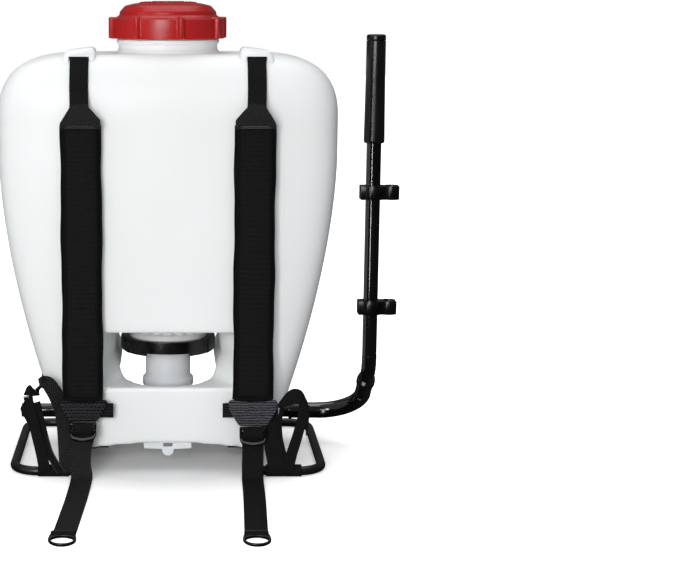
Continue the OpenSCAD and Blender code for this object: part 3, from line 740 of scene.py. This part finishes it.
def build_cap():
    """The ribbed filler cap, with a ring of raised bars on top."""
    low = box_mm("filler_cap")[0].z
    outline = rounded([(55.4, low, 0.6), (62, low, 0.9), (62, low + 21.6, 1.3), (57.5, low + 22.9, 1.5),
                       (53.6, low + 25.4, 1.2), (53, low + 29.2, 1.2), (47.4, low + 35.4, 1.4),
                       (38, low + 37.9, 5), (20, low + 39.8, 6), (0, low + 40.1)], steps=6)
    outline += rounded([(0, low + 31), (39.5, low + 29.6, 1), (40, low + 21.8, 0.6), (55, low + 21.4, 1),
                        (55.4, low)], steps=4)
    ribs, proud, half = 8, 4.6, 3.4

    def ribbed(angle, radius, height):
        turn = (angle - radians(13 - 90) + pi / ribs) % (tau / ribs) - pi / ribs
        across = abs(turn) * 62 / half
        lift = max(0.0, 1 - across ** 2.6) ** 0.5 if across < 1 else 0.0
        foot = 0.12 * max(0.0, 1 - max(0.0, across - 1) / 0.5) ** 2
        rise = max(lift, foot)
        outer = smooth((radius - 55.6) / 5) * smooth((height - low + 0.8) / 1.6)
        return radius + proud * rise * outer, height + 1.3 * lift * outer * smooth((height - low - 15) / 6)

    cap = lathe("filler_cap_shell", outline, 576, shape=ribbed, sharp=50)
    dress(cap, "cap", "red_plastic", "filler_cap")
    for i in range(20):
        turn = Matrix.Rotation(tau * i / 20, 4, "Z")
        bar = rectangle(-1.2, -4, 1.2, 4, 0.8)
        tilt = Matrix.Rotation(radians(-6), 4, "X")
        place = turn @ level(0, 27.5, low + 39.1) @ tilt
        dress(plate(f"cap_bar_{i}", [bar], 1.6, 0.4, place), "cap", "red_plastic")
    ring = [(17 * cos(tau * i / 96), 17 * sin(tau * i / 96), low + 39.7) for i in range(96)]
    dress(rod("cap_ring", ring, 0.9, closed=True), "cap", "red_plastic")


# ---------- pump ----------

def build_pump():
    low, high = box_mm("pump_ring_nut")
    outline = rounded([(30, low.z + 3.5, 0.5), (46, low.z + 3.5, 0.6), (48, low.z, 0.8),
                       (52.3, low.z + 0.2, 0.8), (52.5, high.z, 1.2), (45, high.z, 0.8),
                       (44.5, high.z - 9, 1), (30, high.z - 10, 1)], closed=True)

    def knurled(angle, radius, height):
        tab = abs(radius * cos(angle)) > 24
        drop = height if tab or height > low.z + 3.4 else low.z + 3.5
        turn = (angle + tau / 24) % (tau / 12) - tau / 24
        beside = abs(cos(angle)) > 0.72
        grip = 1.1 * max(0.0, 1 - (turn * 52 / 1.6) ** 2) ** 0.5 if abs(turn) * 52 < 1.6 and beside else 0
        return radius + (grip if radius > 50 else 0), drop

    dress(lathe("pump_ring_nut_shell", outline, 720, shape=knurled), "sprayer", "black_plastic",
          "pump_ring_nut")
    low, high = box_mm("plunger_tube")
    outer = high.x
    tube = 25.5
    profile = rounded([(22.5, low.z + 8, 1), (22.5, low.z + 70), (22.5, high.z, 0.5),
                       (tube, high.z, 0.5), (tube, low.z + 40), (tube, low.z + 8, 2),
                       (tube + 0.8, low.z + 6, 2), (outer, low.z + 4, 1.4), (outer, low.z - 3.9, 0.5),
                       (outer - 0.8, low.z - 4.5, 0.4), (outer - 3, low.z - 4.5), (outer - 3, low.z),
                       (0, low.z), (0, low.z + 7)], closed=True)
    dress(lathe("plunger_shell", profile, 160), "plunger", "pump_plastic", "plunger_tube")


# ---------- lever ----------

def build_grip():
    low, high = box_mm("lever_grip")
    axis = ((low.x + high.x) / 2, (low.y + high.y) / 2)
    cap_top = box_mm("grip_cap")[1].z
    outline = rounded([(8.2, low.z, 0.3), (10.6, low.z, 1), (11.3, low.z + 1.6, 1), (11.25, low.z + 8, 2),
                       (10.95, low.z + 30), (10.5, low.z + 70), (10.35, high.z, 0.3), (8.2, high.z)],
                      closed=True)
    dress(lathe("grip_sleeve", outline, 96, axis), "lever", "grip_rubber", "lever_grip")
    top = rounded([(0, high.z + 0.2), (9.9, high.z + 0.2, 0.4), (10.2, high.z + 0.9, 0.4),
                   (10.35, high.z + 1.2, 0.5), (10.3, cap_top - 1.2, 1.4), (8, cap_top - 0.2, 3),
                   (0, cap_top - 0.6)])
    dress(lathe("grip_end", top, 96, axis), "lever", "grip_rubber", "grip_cap")


# ---------- harness ----------

PAD_X = 92.5
PAD_HALF = 21.5
PAD_VOXEL = 3.6
PAD_SWELL = 2.4
pad_low, pad_high = box_mm("pad_right")
PAD_BACK = pad_high.y
PAD_FRONT = pad_low.y
PAD_TOP = 383
PAD_LOW = pad_low.z
# the base rod's front run, and the middle of the webbing round it
ROD_Y = -100
ROD_Z = 5
SLEEVE_R = 6.4


def sewn(piece, *nodes, look="webbing", slot="webbing"):
    """Dresses a textile piece, which never moves against the tank."""
    return dress(piece, "sprayer", look, *nodes, slot=slot)


def band(name, controls, width, thick, across=(1, 0, 0), spacing=1.8):
    """A band of webbing through a few points."""
    return sweep(name, through(controls, spacing), width, thick, across)


def thread(name, path, radius=0.35, slot="webbing"):
    """A row of stitching; the same grey rod also draws painted highlights."""
    sewn(rod(name, path, radius, 6), look="thread", slot=slot)


def pad_edge(z, side):
    """How far the pad's two edges wander from straight."""
    return 0.5 * sin(z * 0.047 + side * 1.3) + 0.25 * sin(z * 0.121 + side * 2.1)


def build_upper_web(side, name):
    x = side * 94.5
    controls = [(x, -43, 456.8), (x, -53, 456.8)]
    for z in (454.4, 450.5, 443, 432, 420):
        lift = 1.6 if z > 440 else 2.4
        controls.append((x, back_face(84.5, z) - lift, z + (1.2 if z > 449 else 0)))
    controls += [(x - side * 0.4, -93.4, 408), (x - side * 1.2, -98, 396), (x - side * 1.6, -100.4, 388)]
    sewn(band(name + "_strap", controls, 20, 1.7, spacing=1.6), name)
    fold = [(x + side * 8.4, -57.6, 454.6), (x + side * 10.4, -58.4, 455), (x + side * 11.4, -56.5, 456)]
    sewn(rod(name + "_fold", through(fold, 0.8), 1.5, 12))


def build_pad(side, name):
    """A foam pad: a thin bound slab, blown up between its edges by cloth simulation, then ribbed."""
    centre = side * PAD_X
    rings = []
    steps = 60
    for i in range(steps + 1):
        z = PAD_LOW + (PAD_TOP - PAD_LOW) * i / steps
        end = min(1.0, 0.5 + 0.5 * min(i, steps - i) / 2)
        left = -PAD_HALF + 0.8 + pad_edge(z, side)
        right = PAD_HALF - 0.8 + pad_edge(z, side + 2)
        ring = []
        for k in range(24):
            t = tau * k / 24
            share = 0.5 + 0.5 * np.sign(cos(t)) * abs(cos(t)) ** 0.55
            swell = np.sign(sin(t)) * abs(sin(t)) ** 0.6
            y = (PAD_BACK + PAD_FRONT) / 2 + (3.4 if swell > 0 else 3.2) * swell * end
            ring.append((centre + left + (right - left) * share, y, z))
        rings.append(ring)
    raw = add_mesh("pad_raw", *skin(rings))
    modifier(raw, "REMESH", mode="VOXEL", voxel_size=PAD_VOXEL * MM)
    pad = baked(raw, "pad_even", 180)
    start = np.array([v.co[:] for v in pad.data.vertices])
    edge_group = pad.vertex_groups.new(name="bound")
    for vertex in pad.data.vertices:
        x, z = vertex.co.x / MM - centre, vertex.co.z / MM
        close = min(PAD_HALF - abs(x), z - PAD_LOW + 1, PAD_TOP - z + 1)
        edge_group.add([vertex.index], smooth((5.5 - close) / 4), "REPLACE")
    foam = modifier(pad, "CLOTH").settings
    foam.use_pressure = True
    foam.uniform_pressure_force = 4
    foam.effector_weights.gravity = 0
    foam.vertex_group_mass = "bound"
    foam.quality = 5
    for step in range(1, 21):
        scene.frame_set(step)
    pad = baked(pad, "pad_blown", 180)
    scene.frame_set(1)
    moved = np.array([v.co[:] for v in pad.data.vertices])
    shift = moved - start
    far = np.linalg.norm(shift, axis=1)
    shift *= np.minimum(1, PAD_SWELL * MM / np.maximum(far, 1e-9))[:, None]
    moved = start + shift
    moved[:, 1] = np.clip(moved[:, 1], PAD_FRONT * MM, PAD_BACK * MM)
    for vertex, place in zip(pad.data.vertices, moved):
        vertex.co = place
    modifier(pad, "SUBSURF", levels=2, render_levels=2)
    pad = baked(pad, name + "_body", 180)
    for vertex in pad.data.vertices:
        x, y, z = (c / MM for c in vertex.co)
        inner = smooth((PAD_HALF - 4.5 - abs(x - centre)) / 2.5)
        facing = smooth((-1.5 - (y - (PAD_BACK + PAD_FRONT) / 2)) / 2)
        sag = 1.6 * ((x - centre) / PAD_HALF) ** 2 + 0.7 * sin(z * 0.11 + side)
        rib = 0.32 * sin((z - sag) * tau / 5.3)
        seam = -0.75 * max(0.0, 1 - ((abs(x - centre) - 15.6) / 1.3) ** 2)
        vertex.co.y -= (rib * inner + seam) * facing * MM
    sewn(pad, name, look="pad_cloth", slot="pad_cloth")
    bind_pad(pad, side, name)


def bind_pad(pad, side, name):
    """The tape that wraps the pad's two long edges, laid on the finished pad."""
    centre = side * PAD_X
    tree = BVHTree.FromObject(pad, bpy.context.evaluated_depsgraph_get())
    middle = (PAD_BACK + PAD_FRONT) / 2
    for edge in (-1, 1):
        rings, uv = [], []
        for i in range(101):
            z = PAD_LOW + 0.6 + (PAD_TOP - PAD_LOW - 1.6) * i / 100
            rim = edge * PAD_HALF + pad_edge(z, side + (2 if edge > 0 else 0)) - edge * 0.1
            faces = []
            for inset in (5.2, 3.4, 1.6):
                x = centre + rim - edge * inset
                hit = []
                for origin, way in ((-140, 1), (-60, -1)):
                    found = tree.ray_cast(Vector((x, origin, z)) * MM, Vector((0, way, 0)))[0]
                    hit.append(found.y / MM if found else middle)
                faces.append((x, *hit))
            outer = [(x, front - 0.75) for x, front, _ in faces] + [(centre + rim + edge * 0.3, middle - 1.6),
                                                                   (centre + rim + edge * 0.6, middle),
                                                                   (centre + rim + edge * 0.3, middle + 1.6)]
            outer += [(x, back + 0.75) for x, _, back in reversed(faces)]
            inner = [(x, back + 0.1) for x, _, back in faces] + [(centre + rim - edge * 0.4, middle)]
            inner += [(x, front - 0.1) for x, front, _ in reversed(faces)]
            ring = [(x, max(min(y, PAD_BACK + 0.4), PAD_FRONT - 0.4), z) for x, y in outer + inner]
            rings.append(ring)
            uv += [(k * 1.2, z) for k in range(len(ring))]
        points, faces = skin(rings)
        tape = add_mesh(f"{name}_binding_{'ab'[edge > 0]}", points, faces, uv, 60)
        sewn(tape, look="binding", slot="pad_cloth")


def build_yoke(side, name):
    """The heavy taper that joins the upper webbing to the pad."""
    x = side * PAD_X
    path = [(x + side * 1.6, -96, 404), (x + side * 1.2, -99, 398), (x + side * 0.5, -101.6, 390),
            (x, -102.4, 384), (x, -102, 379)]

    def wide(share):
        return 20 + 23 * min(1, max(0, share - 0.12) / 0.6)

    sewn(band(name + "_yoke", path, wide, 2.2, spacing=1.2), look="webbing_coarse")
    for k, z in enumerate((380, 381.6)):
        seam = [(x - 20, -102.6, z), (x - 10, -103.3, z), (x + 10, -103.3, z), (x + 20, -102.6, z)]
        thread(f"{name}_yoke_seam_{k}", through(seam, 1))


def build_tab(side, name, light):
    """The tab sewn to the pad's lower end, with rows of stitching and a short end at its inner side."""
    x = side * PAD_X
    foot = 55 if side > 0 else 60
    outline = rounded([(-27, 80, 2), (-25.5, 84, 2), (25.5, 84, 2), (27, 80, 2), (26, foot + 18, 4),
                       (15, foot, 3), (-15, foot, 3), (-26, foot + 18, 4)], closed=True)
    tab = plate(name + "_patch", [outline], 4.2, 1.2, upright(x, -97.6, 0))
    sewn(tab, name, look="tab_cloth_light" if light else "tab_cloth", slot="tab_cloth")
    strip = rounded([(-33, 64, 1), (-33, 80, 1), (-12, 81, 1), (-12, 64, 1)], closed=True)
    if side < 0:
        strip = [(-a, b) for a, b in strip]
    back = plate(name + "_end", [strip], 2.2, 0.7, upright(x, -95.4, 0))
    sewn(back, look="tab_cloth", slot="tab_cloth")
    roll = [(x - 20.5, -96.4, 85.5), (x - 10, -97.6, 85), (x + 10, -97.6, 85), (x + 20.5, -96.4, 85.5)]
    fold = rod(name + "_fold", through(roll, 2), 3.1, 16)
    sewn(fold, look="binding", slot="tab_cloth")
    for row in range(5):
        z = 79 - row * (83 - foot) / 6
        half = 24 - max(0, foot + 18 - z) * 0.6
        zigzag = [(x + half * (2 * k / 22 - 1), -99.85, z + (1.2 if k % 2 else -1.2)) for k in range(23)]
        thread(f"{name}_stitch_{row}", zigzag, 0.33, "tab_cloth")


def build_buckle(side, name):
    """A ladder-lock buckle: two rails, two bars and a curved lower lip, whose grey crescent is a painted
    highlight.
    """
    x = side * PAD_X
    low, high = box_mm(name)
    y = (low.y + high.y) / 2 - 0.4
    lift = 0 if side > 0 else 5
    foot, top = low.z - 1.5 + lift, high.z + lift
    half = 14.8
    outline = rounded([(-half, top, 1.5), (half, top, 1.5), (half, foot + 7, 4), (11, foot, 4),
                       (-11, foot, 4), (-half, foot + 7, 4)], closed=True)
    slots = [rectangle(-11.6, a, 11.6, b, 0.8) for a, b in ((top - 6.6, top - 3), (foot + 5, foot + 9.4))]
    body = plate(name + "_frame", [outline, *slots], 5.2, 1.3, upright(x, y, 0))
    dress(body, "sprayer", "black_plastic", name)
    # painted highlight: a grey rod in the thread material, thickest in the middle, lies along the black lower
    # lip and stands for light on it
    lip = [(x - 13.2, y - 2.4, foot + 9), (x - 10.5, y - 3.4, foot + 5.4), (x, y - 3.8, foot + 3.4),
           (x + 10.5, y - 3.4, foot + 5.4), (x + 13.2, y - 2.4, foot + 9)]
    sewn(rod(name + "_lip", through(lip, 1), lambda t: 0.7 + 0.7 * sin(pi * t), 12), look="thread",
         slot="black_plastic")
    wrap = [(x, y + 1.6, foot + 10), (x, y - 2.4, foot + 8.6), (x, y - 4.6, foot + 11),
            (x, y - 4.8, top - 5), (x, y - 2.4, top - 1.2), (x, y + 1.8, top - 2)]
    sewn(band(name + "_wrap", wrap, 22.6, 1.7, spacing=0.8))


def build_tail(side, name, end_x):
    """The free webbing: down from the buckle, along the floor to the pull ring."""
    x = side * PAD_X
    end_y = box_mm(name)[0].y
    drift = end_x - x
    top = x if side > 0 else x - 2.5
    path = [(x, -101.4, 50), (x, -102.2, 42), (top, -105.6, 31), (top + drift * 0.06, -110.4, 15),
            (x + drift * 0.1, -118, 5), (x + drift * 0.14, -127, 1.7), (x + drift * 0.18, -146, 1.3),
            (x + drift * 0.34, -190, 1.2), (x + drift * 0.6, -240, 1.3), (x + drift * 0.85, -285, 1.4),
            (x + drift * 0.97, end_y, 2.0), (x + drift, end_y - 6, 3.4)]
    web = band(name + "_strap", path, 23.5, 1.8, spacing=2)
    sewn(web, name, look="webbing_coarse" if side < 0 else "webbing")


def build_ring(name, x):
    """The pull ring: a flat moulding with an oval finger hole, and the webbing wrapped over its bar."""
    y = box_mm(name)[0].y + 14.6
    outline = [(14.2 * cos(t) * 0.97, 12.6 * sin(t)) for t in (pi + pi * i / 24 for i in range(25))]
    outline += rounded([(14, 0), (12.6, 9.6, 3), (-12.6, 9.6, 3), (-14, 0)])[1:-1]
    hole = [(11 * cos(tau * i / 40), -2.2 + 7.6 * sin(tau * i / 40)) for i in range(40)]
    moulding = plate(name + "_moulding", [outline, hole], 3.4, 1, level(x, y, 3.4) @ Matrix.Rotation(
        radians(9), 4, "X"))
    dress(moulding, "sprayer", "black_plastic", name)
    loop = [(x, y + 22, 2.6), (x, y + 14, 6.4), (x, y + 9, 7.6), (x, y + 6.6, 6.6), (x, y + 7, 3.4)]
    sewn(band(name + "_wrap", loop, 23.5, 1.7, spacing=0.8))
    seam = [(x + 10.5 * (2 * k / 14 - 1), y + 14.6, 7.2 + 0.2 * (k % 2)) for k in range(15)]
    thread(name + "_seam", seam)


def lean(start, end):
    """An across direction that turns from one vector to another along a band."""
    a, b = Vector(start), Vector(end)
    return lambda share: a.lerp(b, smooth(share))


def sleeve(name, node, x0, x1):
    """Webbing wrapped once round the base rod."""
    path = []
    for i in range(41):
        t = radians(-44 + 268 * i / 40)
        path.append(((x0 + x1) / 2, ROD_Y - SLEEVE_R * cos(t), max(ROD_Z + SLEEVE_R * sin(t), 0.95)))
    sewn(sweep(name, path, x1 - x0, 1.7, (1, 0, 0)), node)


def hump(name, top, foot, pleats):
    """A pleated fold of webbing between a curved upper edge and a lower edge."""
    upper, lower = through(top, 1.6), through(foot, 1.6)
    count = 26
    rings = []
    for i in range(count):
        a = upper[round(i * (len(upper) - 1) / (count - 1))]
        b = lower[round(i * (len(lower) - 1) / (count - 1))]
        pleat = 0.6 * sin(i * tau * pleats / count)
        belly = (a + b) / 2 + Vector((0, -2.4 + pleat, 0.8))
        near = a * 0.65 + belly * 0.35 + Vector((0, -0.9 + pleat * 0.6, 0.5))
        rings.append([a + Vector((0, 1.2, 0)), a, near, belly, b, b + Vector((0, 1.6, 0)),
                      belly + Vector((0, 1.7, 0))])
    points, faces = skin(rings)
    uv = [(j % 7 * 4.0, j // 7 * 1.6) for j in range(len(points))]
    sewn(add_mesh(name, points, faces, uv, 70))


def build_lower_right():
    """The lower webbing on the right: down to the base rod, and its slack in a loop beside it."""
    node = "lower_web_right"
    wide = [(110, -93.4, 76), (110.6, -93.6, 64), (112.4, -98, 50), (114.6, -103.6, 32), (117.4, -107, 16),
            (118.4, -107.4, 6)]
    sewn(band("lower_ply_right", wide, lambda t: 20 - 2 * t, 1.8, lean((1, 0, 0.06), (1, 0, 0.12)), 2), node)
    sleeve("sleeve_right", node, 107, 146)
    hump("slack_hump_right", [(119, -99.4, 79), (125, -100, 88), (131.6, -100.6, 95.4), (138.6, -101, 97.6),
                              (145.6, -100.8, 94.6), (150.6, -100.4, 85), (152, -100.2, 78)],
         [(120, -101.6, 76), (127, -103.4, 78), (134, -104.4, 80.4), (141, -104.6, 81), (148, -103.8, 79.4),
          (151.8, -102.2, 76)], 7)
    narrow = [(141, -101.4, 90), (146.6, -103, 82), (146.4, -103.8, 70), (143.4, -104.6, 56),
              (139.6, -105.6, 42), (134.6, -106.8, 26), (131.4, -107.4, 12), (131, -107.2, 5)]
    sewn(band("slack_ply_right", narrow, lambda t: 10.5 + 2.5 * t, 1.9,
              lean((1, 0.3, 0.1), (1, 0.05, 0.2)), 1.6))
    back = [(124.4, -98.6, 76), (121.8, -98.8, 62), (122.4, -101, 44), (126.4, -104.4, 26), (131, -106, 12)]
    sewn(band("slack_back_right", back, 5.5, 1.8, lean((1, 0.3, 0), (0.9, 0.2, 0.3)), 1.6))
    edge = [(151, -101.4, 79), (151.6, -102.2, 64), (150.8, -102.8, 46)]
    sewn(band("slack_end_right", edge, lambda t: 5.6 - 4 * t, 1.7, (1, 0.2, 0), 2))


def build_lower_left():
    """The lower webbing on the left, whose slack hangs in a looser knot."""
    node = "lower_web_left"
    wide = [(-142, -99.6, 95), (-137.6, -99.4, 102.4), (-131, -99, 103), (-125.4, -98, 96),
            (-119.6, -95.8, 84), (-115, -93.6, 70), (-112.6, -94.6, 54), (-111.4, -100.6, 34),
            (-110.8, -106, 16), (-110.6, -106.6, 5)]
    turn = lean((0.5, 0.35, 0.8), (1, 0, 0.05))
    ply = band("lower_ply_left", wide, lambda t: 15 + 3 * sin(pi * t), 1.8, turn)
    sewn(ply, node, look="webbing_coarse")
    sleeve("sleeve_left", node, -142, -108)
    narrow = [(-151.6, -102.6, 94), (-150.6, -103.4, 84), (-147, -104.6, 66), (-143, -105.6, 48),
              (-138, -107, 28), (-135, -107.6, 12), (-134.6, -107.2, 4)]
    sewn(band("slack_ply_left", narrow, lambda t: 9.6 + 3.4 * t, 1.9, lean((1, 0.3, 0.1), (1, 0.1, 0.16))))
    curved = [(-143.6, -98.6, 82), (-139, -99.6, 62), (-134.6, -102, 44), (-128.6, -105.4, 26),
              (-121, -107.4, 13), (-116.6, -107.2, 6)]
    sewn(band("slack_back_left", curved, lambda t: 10 - 2 * t, 1.8, lean((1, 0.3, 0.2), (0.9, 0, 0.42))))
    # painted highlights: two grey thread rods laid just in front of the curved band's two edges stand for
    # light along them
    for k, shift in enumerate((-4.4, 4.2)):
        light = [(px + shift * 0.8, py - 0.6, pz + shift * 0.35) for px, py, pz in curved[2:]]
        thread(f"slack_back_edge_highlight_{k}", through(light, 1.8), 0.45)
    diamond = rounded([(-161.6, 74, 3), (-153.6, 88, 3), (-144, 66, 3), (-150.4, 52, 3)], closed=True)
    sewn(plate("slack_fold_left", [diamond], 2.2, 0.7, upright(0, -96.4, 0)))
    hump("slack_knot_left", [(-157, -101.4, 88), (-154, -101.8, 98), (-149.6, -102, 102), (-145, -101, 97),
                             (-139.6, -100, 96)],
         [(-155.6, -103.4, 84), (-151.6, -104.6, 88), (-147.6, -104.6, 90), (-143.6, -103, 90),
          (-139, -101, 90)], 4)
    clasp = plate("slack_clasp_left", [rectangle(-3, -1.4, 3, 1.4, 0.8)], 1.6, 0.5,
                  upright(-153.4, -105.4, 90.2))
    sewn(clasp, look="steel", slot="steel")
    tuck = [(-133.6, -99.4, 105), (-135.4, -99.2, 109.6), (-136.2, -99, 113.4)]
    sewn(band("slack_tuck_left", tuck, lambda t: 7 - 6 * t, 1.6, (1, 0.1, -0.4), 1.5))


def build_drain_flap():
    low, high = box_mm("drain_flap")
    lug = [(6.5 * cos(t), 23 + 6.5 * sin(t)) for t in (pi + pi * i / 16 for i in range(17))]
    outline = rounded([(27, 34, 1), (-27, 34, 1), (-26.6, 25, 2), (-7.5, 24, 1)], closed=True)[:-1]
    outline = [*outline, *lug, *[(-a, b) for a, b in reversed(outline[-8:])]]
    flap = plate("drain_flap_sheet", [outline, rectangle(-5, 27, 5, 31, 1)], 2.0, 0.5,
                 upright(0, (low.y + high.y) / 2, 0))
    dress(flap, "sprayer", "flap_plastic", "drain_flap", slot="white_plastic")


# ---------- the CAD nodes that stay ----------

def dress_cad_nodes():
    for part in frame["record"]["subparts"]:
        mesh = frame["nodes"][part["node"]].data
        mesh.materials.clear()
        mesh.materials.append(MATERIALS[part["material_slot"]])


def build_floor():
    """A white floor that fades into the white surroundings, and throws little light back up. Its glow for
    camera rays is painted light, faint near the middle and full from 0.3 m out, so the object's shadow shows
    only close to it; in reflections it is almost black.
    """
    size = 9
    floor = linked("floor", bpy.data.meshes.new("floor"))
    floor.data.from_pydata([(-size, -size, 0), (size, -size, 0), (size, size, 0), (-size, size, 0)], [],
                           [(0, 1, 2, 3)])
    look = Look("paper_floor", (0.9, 0.9, 0.9), 0.9)
    look.set("Specular IOR Level", 0.0)
    ray = look.node("ShaderNodeLightPath")
    kind = look.math("SUBTRACT", ray.outputs["Is Camera Ray"], ray.outputs["Is Glossy Ray"])
    look.feed("Base Color", look.ramp(look.plus(look.times(kind, 0.5), 0.5),
                                      (0.02, 0.02, 0.02), (0.88, 0.875, 0.87), (0, 1)))
    length = look.node("ShaderNodeVectorMath", operation="LENGTH")
    look.links.new(look.coordinates(), length.inputs[0])
    # painted light: the floor's glow for camera rays grows with distance from the middle
    far = look.ramp(length.outputs["Value"], 0.06, 1.0, (0.12, 0.3))
    look.set("Emission Color", (1, 1, 1, 1))
    look.feed("Emission Strength", look.times(far, ray.outputs["Is Camera Ray"]))
    floor.data.materials.append(look.material)


place_camera()
light_the_stage()
build_floor()
dress_cad_nodes()
build_tank()
build_tank_necks()
build_cap()
build_pump()
build_grip()
for clip in ("wand_clip_lower", "wand_clip_upper"):
    softened(clip, "black_plastic", "lever", bevel=0.6)
for sign, hand in ((1, "right"), (-1, "left")):
    build_lug(sign, "strap_lug_" + hand)
    build_upper_web(sign, "upper_web_" + hand)
    build_pad(sign, "pad_" + hand)
    build_yoke(sign, "pad_" + hand)
    build_tab(sign, "pad_tab_" + hand, light=sign > 0)
    build_buckle(sign, "buckle_" + hand)
    ring_x = 85.5 if sign > 0 else -101.6
    build_tail(sign, "tail_" + hand, ring_x)
    build_ring("pull_ring_" + hand, ring_x)
build_lower_right()
build_lower_left()
build_drain_flap()
